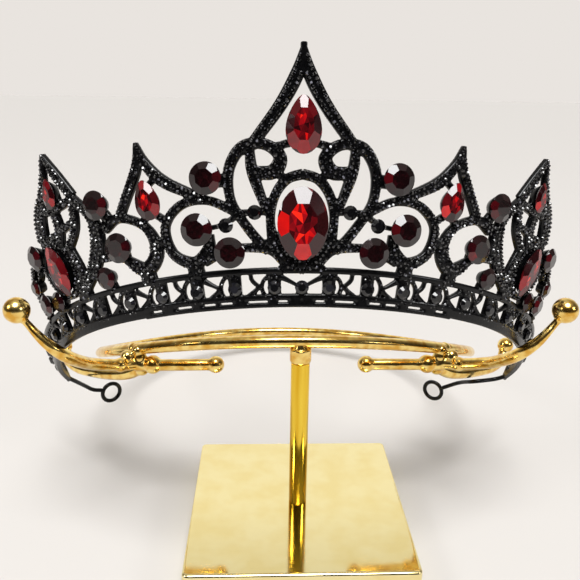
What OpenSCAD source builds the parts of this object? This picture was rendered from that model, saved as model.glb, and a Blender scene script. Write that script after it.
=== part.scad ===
// Black openwork tiara with dark red stones, resting on a gold display stand.
// Origin: middle of the base plate's underside. +Z is up and the tiara's front faces -Y.

/* [Stand] */
// Side of the square base plate
base_side = 75; // [70:0.5:80]
// Thickness of the base plate
base_t = 10; // [8:0.5:12]
// Diameter of the upright post
post_d = 6.3; // [5.5:0.1:6.6]
// Height of the ring's front above the base plate
ring_rise = 61.8; // [61.5:0.1:62.1]
// Radius of the ring, to the middle of its rod
ring_r = 80; // [79.5:0.1:80.5]
// Slope of the ring, down towards the back
ring_slope = 21.3; // [21:0.1:21.6]
// How far the ring's two sides hang below its plane
ring_droop = 6.9; // [6.7:0.1:7.1]
// Diameter of the ring's rod and of the arms
rod_d = 4.3; // [4:0.1:4.4]

/* [Tiara] */
// How far the whole tiara leans down towards its ends
tilt = 40; // [39.5:0.1:40.5]
// How far the wall flares outwards
flare = 29; // [28:0.5:30]
// Length of the band on each side, from the middle to its end
band_end = 135; // [133:0.5:136]
// Height of the band, up the wall
band_h = 9.9; // [9.6:0.1:10.2]
// Distance between two stones of the band
bead_pitch = 10.2; // [10.1:0.05:10.25]
// Diameter of the stones of the band
bead_d = 3.7; // [3.4:0.1:3.9]
// Diameter of the bare wire behind the band
wire_d = 1.6; // [1.4:0.1:1.7]
// Depth of the cast metal behind the wall's face
metal_back = 1.4; // [1.2:0.05:1.6]
// Height of the cast metal in front of the wall's face
metal_front = 0.3; // [0.2:0.05:0.35]

/* [Stones] */
// Air between a stone and its cup
stone_gap = 0.12; // [0.1:0.01:0.2]
// Width of a stone's table, as a share of the stone
table_share = 0.56; // [0.5:0.01:0.65]

/* [Hidden] */
// The wall's plan: three arcs on each side, front, shoulder and side
front_r = 92;
front_len = 50;
shoulder_r = 71;
shoulder_len = 39;
side_r = 90;
// The lowest point of the tiara's front
front_at = [-2.3, -37.3, base_t + 88.1];
// The ring's front and the two arms share one middle, a little to the left of the post
ring_at = [-2.4, 0, base_t + ring_rise];

// Columns of a strip's table: distance from the middle, height up the wall, width
ALONG = 0;
UP = 1;
WIDE = 2;

// Half sections, as [share of the half width, distance out of the wall's face]
strip_section = [[-1, -metal_back], [-0.75, metal_front], [0.75, metal_front], [1, -metal_back]];
vine_section = [[-1, -metal_back], [0, metal_front], [1, -metal_back]];

// The front peak, the heart below it and the ring round the oval stone
front_leg = [[-0.2, 67.2, 1], [1.1, 60, 2.9], [4.8, 51.5, 3], [11.2, 41.6, 2.8]];
heart_scroll = [
  [14, 22.8, 2], [16.5, 29, 2.3], [16.2, 36.4, 2.6], [12.8, 41.9, 3],
  [8, 42.1, 3], [4.9, 38.8, 3.1], [6.5, 35.1, 3.9], [10.6, 35.1, 3.4]
];
heart_stem = [[11.4, 41.6, 2], [11, 35, 2.7], [8.3, 25, 2.1]];
oval_ring = [
  [-0.2, 34.5, 2.9], [3.4, 33.2, 2.7], [6, 29.6, 2.4], [7.3, 25, 2.3], [7.4, 20.6, 2.4],
  [6.5, 16.2, 3.6], [4.6, 13, 4.2], [2.6, 11.2, 3.6], [-0.2, 10.8, 3.6]
];
front_brace = [[15.4, 25.2, 2.4], [11.7, 19, 2.6], [8, 14.4, 2.6]];
front_bar = [[4.4, 11.8, 2.6], [8, 15.1, 2.8], [15.2, 15.9, 2.4]];
drop_tie = [[15.2, 24.8, 1.6], [18, 22.4, 1.4], [22.6, 21.6, 1.4]];

// The scroll between the heart and the first side peak
inner_scroll = [
  [15.7, 25.3, 2.4], [21.8, 28.9, 2.5], [28.4, 28.6, 2.6], [33.2, 23.5, 2.4],
  [32.4, 16.2, 2.8], [27.4, 13, 3.5], [23.4, 15.4, 3.8], [22.2, 20.2, 2]
];
// The first side peak
peak_in = [[36.5, 46.8, 0.8], [35.3, 41, 2.6], [31.2, 35, 3.2], [22, 29, 2.4]];
peak_out = [[36.5, 46.8, 0.8], [37.8, 40, 2.7], [44.9, 28.6, 2.7]];
peak_seat = [[32.4, 24.8, 2], [36.2, 27.6, 2], [40, 25.2, 2]];
// The scroll between the two side peaks, and the stem with the stones on it
outer_scroll = [
  [50.4, 26.9, 3.8], [45, 28.4, 2.8], [38.4, 24.4, 2.5],
  [36.7, 17.5, 3.8], [40.8, 13.2, 4.4], [45.8, 16.8, 2.6]
];
scroll_bridge = [[33.2, 20, 2.4], [37.4, 19.8, 2.4]];
stem = [[57.4, 38.4, 2.2], [53.3, 31, 2.9], [53.1, 24.6, 4.4], [56.4, 18, 4.4], [62, 12.8, 3.6]];
stem_tie = [[51, 28.4, 1.6], [54, 26.4, 1.6]];
stem_foot = [[54, 12.6, 2], [57.4, 15.9, 3.2]];
tall_scroll = [[57.2, 38.2, 2.3], [59.2, 29.8, 2.4], [64, 24.6, 2.6]];

// The second side peak, over the long pointed stone
side_in = [[61.9, 52.9, 0.8], [60, 46, 2.7], [57, 38.4, 2.8]];
side_out = [[61.9, 52.9, 0.8], [65.2, 44.6, 2.5], [70.8, 37, 4.6], [73, 30.4, 4.8]];
side_bar = [[57.6, 37.6, 2.6], [65, 37.2, 2.8], [69.4, 38.6, 2.8]];
side_stem = [[64.6, 37.4, 2.4], [64.6, 32, 3], [66.4, 26.6, 2.4]];
side_web = [[58.4, 32, 2], [65, 30.5, 2.2], [74, 30.2, 2.4]];
side_left = [[70, 30.2, 2], [66.2, 24.6, 3], [65, 18.4, 3.6], [67, 12.8, 2.4], [70.8, 12.2, 2]];
side_right = [[72.6, 30.2, 2], [77, 23.6, 1.7], [75, 16, 1.7], [70.4, 12, 2]];
side_fill = [[63.6, 24.6, 3], [62.4, 17, 4], [63, 11.4, 3.6]];
// The end of the openwork, down to the bare band
end_tie = [[76.4, 27.6, 2], [81.4, 28.6, 2.2]];
end_leg = [[83.8, 27, 2], [88.4, 21.6, 2.2], [88, 13, 2.4]];
end_foot = [[73, 13.4, 1.8], [80, 12.8, 2.4], [86.6, 14.4, 2.2]];
end_hook = [[81, 26.4, 1.4], [80.8, 23.8, 1.4], [83.2, 22, 1.4], [87.6, 22.6, 1.4]];

STRIPS = [
  heart_scroll, front_leg, oval_ring, heart_stem, front_bar, inner_scroll, peak_in, peak_out,
  outer_scroll, scroll_bridge, stem, tall_scroll, stem_foot,
  side_in, side_left, side_bar, side_out, side_stem, side_right, side_web, side_fill,
  end_leg, end_foot
];
TIES = [front_brace, drop_tie, peak_seat, stem_tie, end_tie, end_hook];
// Feet that carry the openwork on the band: place and width on the band, then place, height
// and width on the openwork
FEET = [
  [27, 5, 27.2, 13, 4],
  [51.8, 2.4, 53, 12.4, 3],
  [76, 2.6, 75, 13, 2.4],
  [87.6, 2.4, 87.8, 13.4, 2.6]
];
// Broader plates between the two, stretched between the spots of a row
GUSSETS = [
  [[-3.6, 12.6, 3], [3.6, 12.6, 3], [0, 9.6, 3]],
  [[-5.8, 9.6, 2], [5.8, 9.6, 2]],
  [[40.4, 9.4, 4.2], [40.8, 13.4, 4.4]],
  [[63.6, 9.4, 5.8], [63.4, 12.6, 5]]
];
// Short arms that join a stone's cup to the openwork
CUP_ARMS = [
  [[16.8, 33.6, 3.4], [20, 33.8, 4]],
  [[45.8, 16.4, 2.6], [46.3, 19.6, 3.4]],
  [[49, 18.6, 2.4], [53.4, 18.8, 2.2]],
  [[50, 33.4, 3.4], [54, 32.6, 2.6]],
  [[49.4, 31, 3], [48.2, 28.4, 3]],
  [[36.6, 34.6, 1.8], [33.6, 36.6, 1.6]],
  [[62.4, 40.8, 2.6], [62.4, 37.4, 3]],
  [[65, 19, 3], [68, 20, 4]],
  [[70.6, 29.6, 2.6], [70.8, 25.2, 3]],
  [[19.4, 15.4, 3], [24.6, 12.8, 2.8]],
  [[0.6, 43, 2.4], [6.3, 41.4, 2]],
  [[6.8, 18, 3], [3.6, 18.4, 3]]
];
// Raised bars that the two smallest stones of a side sit on
DOT_BARS = [
  [[8, 24.8, 1.8], [15, 25, 1.8]],
  [[16.2, 23.6, 1.7], [19.6, 22, 1.7]]
];

// Stones of one side: name, outline, place along and up the wall, width, length, lean
SIDE_STONES = [
  ["round_1", "round", 21.2, 34.6, 8.6, 8.6, 0],
  ["round_2", "round", 24.7, 21.7, 8.7, 8.7, 0],
  ["round_3", "round", 17.4, 14.9, 8.2, 8.2, 0],
  ["round_4", "round", 46.2, 20.6, 8.3, 8.3, 0],
  ["round_5", "round", 49.6, 33.4, 8.2, 8.2, 0],
  ["round_6", "round", 52.4, 13.4, 6.3, 6.3, 0],
  ["round_7", "round", 77.4, 27.6, 7.8, 7.8, 0],
  ["round_8", "round", 84.6, 20.4, 5.6, 5.6, 0],
  ["round_9", "round", 74.4, 12.2, 6.4, 6.4, 0],
  ["round_10", "round", 82, 13.7, 7, 7, 0],
  ["pear_1", "pear", 35.6, 31.3, 8, 10.8, -4],
  ["pear_2", "pear", 62.4, 41.3, 5.8, 8.8, 12],
  ["navette", "navette", 68.6, 20.2, 8.6, 16, -10],
  ["dot_1", "dot", 10.9, 24.9, 3.9, 3.9, 0],
  ["dot_2", "dot", 17.8, 22, 3.9, 3.9, 0]
];
FRONT_STONES = [
  ["front_pear", "pear", 0, 46.7, 10.2, 14.7, 0],
  ["front_oval", "oval", 0, 21.8, 13.2, 18.8, 0]
];
SIDES = ["left", "right"];

// The wall as a surface: the turn of its plan, its foot, and a point up and out from there
a1 = front_len / front_r * 180 / PI;
a2 = a1 + shoulder_len / shoulder_r * 180 / PI;
function turn(s) =
  s < front_len ? s / front_r * 180 / PI :
  s < front_len + shoulder_len ? a1 + (s - front_len) / shoulder_r * 180 / PI :
  a2 + (s - front_len - shoulder_len) / side_r * 180 / PI;
function arc_step(r, from, to) = r * [sin(to) - sin(from), cos(from) - cos(to)];
function foot(s) = let (t = turn(s))
  arc_step(front_r, 0, min(t, a1))
  + arc_step(shoulder_r, min(t, a1), min(t, a2))
  + arc_step(side_r, min(t, a2), t);
function wall(s, h, out = 0) = s < 0 ? flip(wall(-s, h, out)) :
  let (t = turn(s), c = foot(s), r = h * sin(flare) + out * cos(flare))
  [c.x + r * sin(t), c.y - r * cos(t), h * cos(flare) - out * sin(flare)];
function flip(p) = [-p.x, p.y, p.z];

// A smooth curve through the rows of a table, with more points where it turns
max_step = 12;
max_turn = 48;
function row(t, i) =
  i < 0 ? 2 * t[0] - t[1] :
  i >= len(t) ? 2 * t[len(t) - 1] - t[len(t) - 2] : t[i];
function blend(a, b, c, d, x) =
  0.5 * (2 * b + (c - a) * x + (2 * a - 5 * b + 4 * c - d) * x * x + (3 * b - a - 3 * c + d) * x * x * x);
function flat(v) = [v[0], v[1]];
function angle(a, b) = acos(min(1, a * b / norm(a) / norm(b)));
function steps(t, i) = max(
  ceil(norm(flat(row(t, i + 1) - row(t, i))) / max_step),
  ceil(angle(flat(row(t, i + 1) - row(t, i - 1)), flat(row(t, i + 2) - row(t, i))) / max_turn)
);
function curve(t) = [
  for (i = [0 : len(t) - 2]) let (n = steps(t, i)) for (k = [0 : n - 1])
    blend(row(t, i - 1), row(t, i), row(t, i + 1), row(t, i + 2), k / n),
  t[len(t) - 1]
];

// Side walls and two end caps of a run of equal sections, as triangles
function skin(rows, n, closed = false) = concat(
  [for (j = [0 : rows - (closed ? 1 : 2)]) for (k = [0 : n - 1]) for (half = [0, 1])
    let (a = j * n, b = (j + 1) % rows * n, m = (k + 1) % n)
    half == 0 ? [a + k, a + m, b + m] : [a + k, b + m, b + k]],
  closed ? [] : [for (k = [1 : n - 2]) [0, k + 1, k]],
  closed ? [] : [for (k = [1 : n - 2]) [(rows - 1) * n, (rows - 1) * n + k, (rows - 1) * n + k + 1]]
);

// A strip of metal on the wall, along the points p, whose section is swept
module strip(p, section, lift = 0) {
  points = [
    for (j = [0 : len(p) - 1])
      let (d = flat(p[min(j + 1, len(p) - 1)] - p[max(j - 1, 0)]), side = [-d.y, d.x] / norm(d))
      for (q = section)
        let (c = flat(p[j]) + side * q[0] * p[j][WIDE] / 2)
        wall(c.x, c.y, q[1] + (q[1] > 0 ? lift : -lift))
  ];
  polyhedron(points, skin(len(p), len(section)));
}

// Its children on the wall, standing out of it
module on_wall(s, h, lean = 0) {
  t = turn(s);
  p = wall(s, h);
  multmatrix([
    [cos(t), sin(flare) * sin(t), cos(flare) * sin(t), p.x],
    [sin(t), -sin(flare) * cos(t), -cos(flare) * cos(t), p.y],
    [0, cos(flare), -sin(flare), p.z],
    [0, 0, 0, 1]
  ]) rotate([0, 0, lean]) children();
}

// Outline of a stone, one unit wide and long
function sides_of(shape) = shape == "dot" || shape == "round" ? 8 : 10;
function outline(shape, n) =
  [for (k = [0 : n - 1]) let (a = 90 - 360 * k / n)
    shape == "pear" ? [0.5 * cos(a) * (1 - 0.45 * pow((1 + sin(a)) / 2, 2)), 0.5 * sin(a)] :
    shape == "navette" ? [0.5 * cos(a) * (1 - 0.28 * pow(sin(a), 2)), 0.5 * sin(a)] :
    0.5 * [cos(a), sin(a)]];

// A cut stone from its back at the given level: girdle, crown and table
module stone(shape, w, l, back) {
  o = outline(shape, sides_of(shape));
  girdle = back + 0.12 * w;
  levels = [
    if (shape != "dot") [0.8, back],
    [1, shape == "dot" ? back : girdle],
    [table_share, girdle + 0.1 * w + 0.25]
  ];
  points = [for (v = levels) for (p = o) [p.x * w * v[0], p.y * l * v[0], v[1]]];
  polyhedron(points, skin(len(levels), len(o)));
}
// The cup that holds it, part of the cast frame
cup_front = 0.75;
cup_sides = 6;
module cup(shape, w, l) {
  points = [
    for (v = [[0.56, -metal_back - 0.2], [0.86, cup_front]]) for (p = outline(shape, cup_sides))
      [p.x * w * v[0], p.y * l * v[0], v[1]]
  ];
  polyhedron(points, skin(2, cup_sides));
}

// Where the stones of the band are, from the middle outwards
bead_count = floor((band_end - 2) / bead_pitch);
function bead_at(k) = k == 0 ? 0 : 7 + (k - 1) * bead_pitch;
bead_up = 5.1;
top_wire_up = band_h - 0.4;

slit_end = 44;
// Bars between the slits: distance from the middle, width
SLIT_BARS = [[1.6, 4.2], [7.5, 2.8], [16.2, 4.2], [22.2, 1.4], [28, 3.4], [36.4, 4.6]];

// The plate behind a stone of the band, from the bottom rail up to a height over the stone's middle
module bead_seat(high, top) {
  low = 2.2 - bead_up;
  polygon([[-1.6, low], [-top / 2, high], [top / 2, high], [1.6, low]]);
}
// The open crescent beside it
module crescent(r) {
  arc = [for (a = [-56, 9, 74]) [cos(a), sin(a)]];
  polygon(concat((r - 0.55) * arc, [for (k = [2 : -1 : 0]) (r + 0.55) * arc[k]]));
}
// The vine past an odd cell's crescent curls down from the top wire; past an even cell's crescent
// it rises to the next plate
module curled_vine() {
  high = top_wire_up - bead_up;
  polygon([
    [5.1, high], [5, 2.1], [3.6, 0.9], [3.8, -2.8], [7, -2.8], [4.2, -0.2], [5.8, 1.8], [6.05, high]
  ]);
}
module rising_vine() {
  high = top_wire_up - bead_up;
  polygon([
    [3.9, 0.6], [7.4, high], [8.9, high], [8.9, 1.8], [4.5, -0.1], [6.2, -2.8], [3.8, -2.8]
  ]);
}
// Plate fronts of even and odd cells
plate_back = -1.1;
plate_fronts = [0, 0.1];
module band_cell(k) {
  middle = k < bead_count ? 2.6 : 1;
  on_wall(bead_at(k) + middle, bead_up) translate([-middle, 0, plate_back])
    linear_extrude(plate_fronts[k % 2] - plate_back) {
      bead_seat(top_wire_up - bead_up, 3.4);
      crescent(k == 1 ? 3.3 : 3.9);
      if (k < bead_count - 2 && k % 2 == 1) curled_vine();
      if (k < bead_count - 2 && k % 2 == 0) rising_vine();
    }
}

// The vine between the middle stone and the first cell
first_vine = [[0.8, 5.2, 1], [2.9, 6.2, 1.1], [5.8, 7.8, 1.6]];

module rail(up, wide, from, to, lift = 0) {
  strip([for (s = [from, each [from + 9 : 9 : to - 4], to]) [s, up, wide]], strip_section, lift);
}

module half_band() {
  rail(top_wire_up, 1.7, -0.3, band_end);
  rail(2.45, 1.7, -0.3, slit_end);
  rail(0.35, 1.3, -0.3, slit_end, 0.05);
  rail(1.6, 3.2, slit_end - 2, band_end, 0.1);
  for (b = SLIT_BARS) strip([[b[0], 0.4, b[1]], [b[0], 2.4, b[1]]], vine_section, -0.15);
  strip(first_vine, vine_section, -0.16);
  for (k = [1 : bead_count]) band_cell(k);
  strip([[band_end - 0.6, 0.2, 2], [band_end - 0.6, band_h, 2]], strip_section, 0.15);
}

module gusset(spots) {
  hull() for (p = spots)
    on_wall(p[ALONG], p[UP], 45) translate([0, 0, -1.2]) cylinder(d = p[WIDE], h = 1.35, $fn = 4);
}

module half_frame() {
  for (i = [0 : len(STRIPS) - 1]) strip(curve(STRIPS[i]), strip_section, 0.1 * (i % 4));
  for (t = TIES) strip(curve(t), vine_section, -0.1);
  for (spots = GUSSETS) gusset(spots);
  for (a = CUP_ARMS) strip(a, vine_section);
  for (f = FEET) strip([[f[0], band_h - 0.9, f[1]], [f[2], f[3], f[4]]], strip_section, -0.05);
  for (b = DOT_BARS) strip(b, strip_section, 0.35);
  for (s = SIDE_STONES) if (s[1] != "dot") on_wall(s[2], s[3], s[6]) cup(s[1], s[4], s[5]);
  half_band();
}

module on_stand() {
  translate(front_at) rotate([-tilt, 0, 0]) children();
}

module tiara_frame() color("#15151a") union() {
  on_stand() {
    half_frame();
    mirror([1, 0, 0]) half_frame();
    for (s = FRONT_STONES) on_wall(s[2], s[3]) cup(s[1], s[4], s[5]);
    on_wall(0, bead_up) translate([0, 0, plate_back]) linear_extrude(-plate_back) bead_seat(1.5, 2.2);
  }
  for (w = [LEFT_WIRE, RIGHT_WIRE]) pin_wire(w);
}

module band_stones() color("#2a2a30") on_stand() {
  back = plate_fronts[1] + 1.5 * stone_gap;
  on_wall(0, bead_up) stone("dot", bead_d, bead_d, back);
  for (k = [1 : bead_count]) for (m = [0, 1])
    mirror([m, 0, 0]) on_wall(bead_at(k), bead_up) stone("dot", bead_d, bead_d, back);
}

// The bare wires behind the band, each bent into a loop for a pin
LEFT_WIRE = [[-86.6, 26.6, 46], [-84.6, 30.8, 42.1], [-82.8, 36.6, 37.1], [-80.6, 40, 33.6], [-76.6, 40.2, 33.2]];
RIGHT_WIRE = [[82, 26.6, 46], [78, 28.6, 43.4], [69.6, 27.4, 43], [66.2, 35.4, 38.4], [60.4, 40.2, 33.4]];
loop_r = 3.7;
module pin_wire(w) {
  last = w[len(w) - 1];
  inward = [w[0].x < 0 ? 0.8 : -0.8, 0.6, 0];
  loop = [for (a = [150 : -60 : -210]) last + loop_r * ((cos(a) - cos(150)) * inward + [0, 0, sin(a) - sin(150)])];
  rod(concat([for (k = [0 : len(w) - 2]) w[k]], loop), wire_d, [0, 1, 0.3]);
}

module set_stone(s, m) color(s[1] == "dot" ? "#2a2a30" : "#8a0f18") on_stand()
  mirror([m, 0, 0]) on_wall(s[2], s[3], s[6]) stone(s[1], s[4], s[5], cup_front + stone_gap);

// A round rod along points in space, of one diameter or one for each point; up is any direction that
// it never runs along
rod_sides = 6;
module rod(p, d, up, closed = false) {
  n = len(p);
  points = [
    for (j = [0 : n - 1])
      let (
        ahead = p[closed ? (j + 1) % n : min(j + 1, n - 1)],
        back = p[closed ? (j + n - 1) % n : max(j - 1, 0)],
        x = cross(ahead - back, up), y = cross(x, ahead - back)
      )
      for (k = [0 : rod_sides - 1]) let (a = -360 * k / rod_sides)
        p[j] + (is_list(d) ? d[j] : d) / 2 * (cos(a) * x / norm(x) - sin(a) * y / norm(y))
  ];
  polyhedron(points, skin(n, rod_sides, closed));
}

// The ring: a circle that slopes back, with its two sides hanging lower
ring_steps = 32;
function ring_point(a) = let (back = [0, cos(ring_slope), -sin(ring_slope)], up = [0, sin(ring_slope), cos(ring_slope)])
  ring_r * (1 - cos(a)) * back + [ring_r * sin(a), 0, 0] - ring_droop * pow(sin(a), 2) * up;

// Arms of one side, from the welds under the ring: x, y, height above the plate
front_arm = [
  [54, 17, 46], [60.4, 13.4, 47.1], [67.6, 6, 51], [69.9, -1, 55.2], [71.7, -7, 59.5],
  [74.2, -10, 63.1], [77.4, -10.6, 66.4], [79.9, -10.3, 69.2], [82, -9.6, 71.5], [84.4, -9.2, 74.4]
];
// Its diameter, thinner towards the ball
front_arm_d = [rod_d, rod_d, rod_d, rod_d, rod_d, 4, 3.4, 2.8, 2.4, 2.2];
back_arm = [
  [54.5, 18.6, 42.2], [60.1, 22, 39.4], [67.2, 27.2, 36.7], [75.1, 33.6, 34.5],
  [82.6, 39.2, 33.5], [88.2, 44.6, 34.4], [89.8, 47, 36.8]
];
front_ball = [85.3, -9, 76.2];
back_ball = [90.5, 48, 39.2];
inner_rod = [[56, 16.4, 45.6], [27, 15, 46.4]];
near_ball = [49.5, 16, 46];
weld_at = [56.6, 20.6, 50];

module rounded(at, d, sides = 8) {
  translate(at) rotate([90, 0, 0]) sphere(d = d, $fn = sides);
}
module lump(a, da, b, db) {
  hull() {
    rounded(a, da, 6);
    rounded(b, db, 6);
  }
}
module side_arms() {
  translate([0, 0, -ring_rise]) {
    rod(front_arm, front_arm_d, [0, 1, 1]);
    rod(back_arm, rod_d, [0, -1, 1]);
    lump(inner_rod[0], rod_d, inner_rod[1], rod_d);
    rounded(front_ball, 8.2);
    rounded(back_ball, 6.4);
    rounded(near_ball, 6.8);
    rounded(inner_rod[1], 6.2);
    lump(weld_at, rod_d + 0.6, front_arm[1], rod_d + 1);
    lump(weld_at + [-2, -3, 0.6], rod_d + 0.4, front_arm[0], rod_d + 1);
    lump(front_arm[0], rod_d + 1, back_arm[0], rod_d + 1);
  }
}

// The short collar welded under the ring's front, round the top of the post
collar_h = 5;
collar_low = ring_at.z - rod_d / 2 - collar_h;
module ring_and_arms() color("#d9b13b") {
  translate(ring_at) {
    rod([for (k = [0 : ring_steps - 1]) ring_point(-360 * k / ring_steps)], rod_d, [0, 0, 1], true);
    side_arms();
    mirror([1, 0, 0]) side_arms();
  }
  hull() {
    translate([0, 0, collar_low]) cylinder(d = post_d + 0.9, h = collar_h, $fn = 12);
    translate([0, 0, ring_at.z]) cylinder(d = 3.4, h = 0.6, $fn = 10);
  }
}

module post() color("#d9b13b")
  translate([0, 0, base_t + 0.1]) cylinder(d = post_d, h = collar_low - base_t - 0.2, $fn = 48);

corner_r = 2;
edge_r = 0.9;
module base_plate() color("#e3c98a") hull()
  for (x = [-1, 1]) for (y = [-1, 1])
    translate([x, y, 0] * (base_side / 2 - corner_r)) {
      translate([0, 0, edge_r]) cylinder(r = corner_r, h = base_t - 2 * edge_r, $fn = 16);
      cylinder(r = corner_r - edge_r, h = base_t, $fn = 16);
    }

base_plate();
post();
ring_and_arms();
tiara_frame();
band_stones();
for (s = FRONT_STONES)
  set_stone(s, 0);
for (m = [0, 1]) for (s = SIDE_STONES)
  set_stone(s, 1 - m);
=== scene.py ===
# %% [markdown]
# A black openwork tiara with dark red stones lies on a gold display stand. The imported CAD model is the
# fixed frame: it says where everything is. Each piece below is a finer version of one of its solids and
# lies in the same place. All sizes are in millimetres until a piece is put on the stand.

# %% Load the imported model
import math
import random

import bpy
import numpy as np
from mathutils import Matrix, Vector


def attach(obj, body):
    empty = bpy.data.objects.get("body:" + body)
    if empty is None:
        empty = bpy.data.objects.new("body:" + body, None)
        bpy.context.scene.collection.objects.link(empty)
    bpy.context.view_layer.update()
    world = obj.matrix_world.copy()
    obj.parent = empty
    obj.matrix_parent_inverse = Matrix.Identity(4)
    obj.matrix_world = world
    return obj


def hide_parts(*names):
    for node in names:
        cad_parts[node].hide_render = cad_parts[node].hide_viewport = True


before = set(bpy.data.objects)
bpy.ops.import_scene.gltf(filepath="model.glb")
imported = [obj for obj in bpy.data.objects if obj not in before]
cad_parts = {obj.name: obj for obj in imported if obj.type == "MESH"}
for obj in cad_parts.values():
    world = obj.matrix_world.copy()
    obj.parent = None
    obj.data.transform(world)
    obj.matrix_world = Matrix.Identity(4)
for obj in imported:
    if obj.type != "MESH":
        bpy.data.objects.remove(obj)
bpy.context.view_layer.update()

MM = 0.001

# %% [markdown]
# The photograph was taken from a little above and a little to the left. A camera of 580 by 580 pixels
# with a focal length of 662 pixels fits the square plate, the post and the tiara's mirrored halves, so
# the Blender camera gets that lens, place and turn.

# %% Camera
PICTURE_PIXELS = 580
FOCAL_PIXELS = 662
CAMERA_AT = (-12.4, -201.2, 158.9)
CAMERA_DOWN, CAMERA_ROLL, CAMERA_TURN = 18.94, -0.89, -2.43


def make_camera():
    turn = Matrix.Rotation(math.radians(CAMERA_TURN), 3, "Z")
    down = Matrix.Rotation(math.radians(-CAMERA_DOWN), 3, "X")
    roll = Matrix.Rotation(math.radians(CAMERA_ROLL), 3, "Y")
    upright = Matrix.Rotation(math.radians(90), 3, "X")
    place = Vector(CAMERA_AT) * MM
    bpy.ops.object.camera_add(location=place, rotation=(turn @ down @ roll @ upright).to_euler())
    camera = bpy.context.object
    camera.data.sensor_width = 36
    camera.data.lens = FOCAL_PIXELS / PICTURE_PIXELS * camera.data.sensor_width
    camera.data.clip_start = 0.01
    bpy.context.scene.camera = camera
    return camera


camera = make_camera()
print("lens", round(camera.data.lens, 1), "mm")

# %% [markdown]
# A tiara is cast flat and then bent round a former. It is made the same way here: the pattern is drawn on
# a flat bench, with x along the band from its middle, y up the wall and z out of the wall's face, and
# each point is then moved to the curved wall. The wall's plan is three arcs on each side, it flares
# outwards as it rises, and the whole tiara leans down towards its ends.

# %% The curved wall
FRONT_R, FRONT_LEN = 92, 50
SHOULDER_R, SHOULDER_LEN = 71, 39
SIDE_R = 90
FLARE = math.radians(29)
TILT = math.radians(40)
FRONT_AT = np.array([-2.3, -37.3, 98.1])


def plan(s):
    """Turn of the wall and the place of its foot, at each distance s along the band."""
    turn, x, y, left = (np.zeros_like(s) for _ in range(4))
    left = s.copy()
    for radius, length in ((FRONT_R, FRONT_LEN), (SHOULDER_R, SHOULDER_LEN), (SIDE_R, 1000)):
        part = np.clip(left, 0, length)
        after = turn + part / radius
        x = x + radius * (np.sin(after) - np.sin(turn))
        y = y + radius * (np.cos(turn) - np.cos(after))
        turn, left = after, left - part
    return turn, x, y


def wall(points):
    """Bench points (along, up, out) moved to the wall and onto the stand, in metres."""
    points = np.asarray(points, float).reshape(-1, 3)
    side = np.where(points[:, 0] < 0, -1.0, 1.0)
    turn, x, y = plan(np.abs(points[:, 0]))
    reach = points[:, 1] * math.sin(FLARE) + points[:, 2] * math.cos(FLARE)
    height = points[:, 1] * math.cos(FLARE) - points[:, 2] * math.sin(FLARE)
    x, y = side * (x + reach * np.sin(turn)), y - reach * np.cos(turn)
    lean = np.array([x, y * math.cos(TILT) + height * math.sin(TILT),
                     height * math.cos(TILT) - y * math.sin(TILT)]).T
    return (lean + FRONT_AT) * MM


def wall_frame(along, up, lean=0.0):
    """Matrix of a spot on the wall: x along the band, y up the wall, z out of its face."""
    side = -1.0 if along < 0 else 1.0
    at, ahead, above = wall([[along, up, 0], [along + side * 0.1, up, 0], [along, up + 0.1, 0]])
    x = Vector((ahead - at) * side).normalized()
    y = Vector(above - at).normalized()
    z = x.cross(y)
    spot = Matrix((x, y, z)).transposed() @ Matrix.Rotation(lean, 3, "Z")
    return Matrix.Translation(at) @ (spot * MM).to_4x4()


# %% [markdown]
# These are the middle lines of the cast strips of the right half, the same short tables as in the CAD
# source: distance from the middle, height up the wall and width. The left half is their mirror image.

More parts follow.
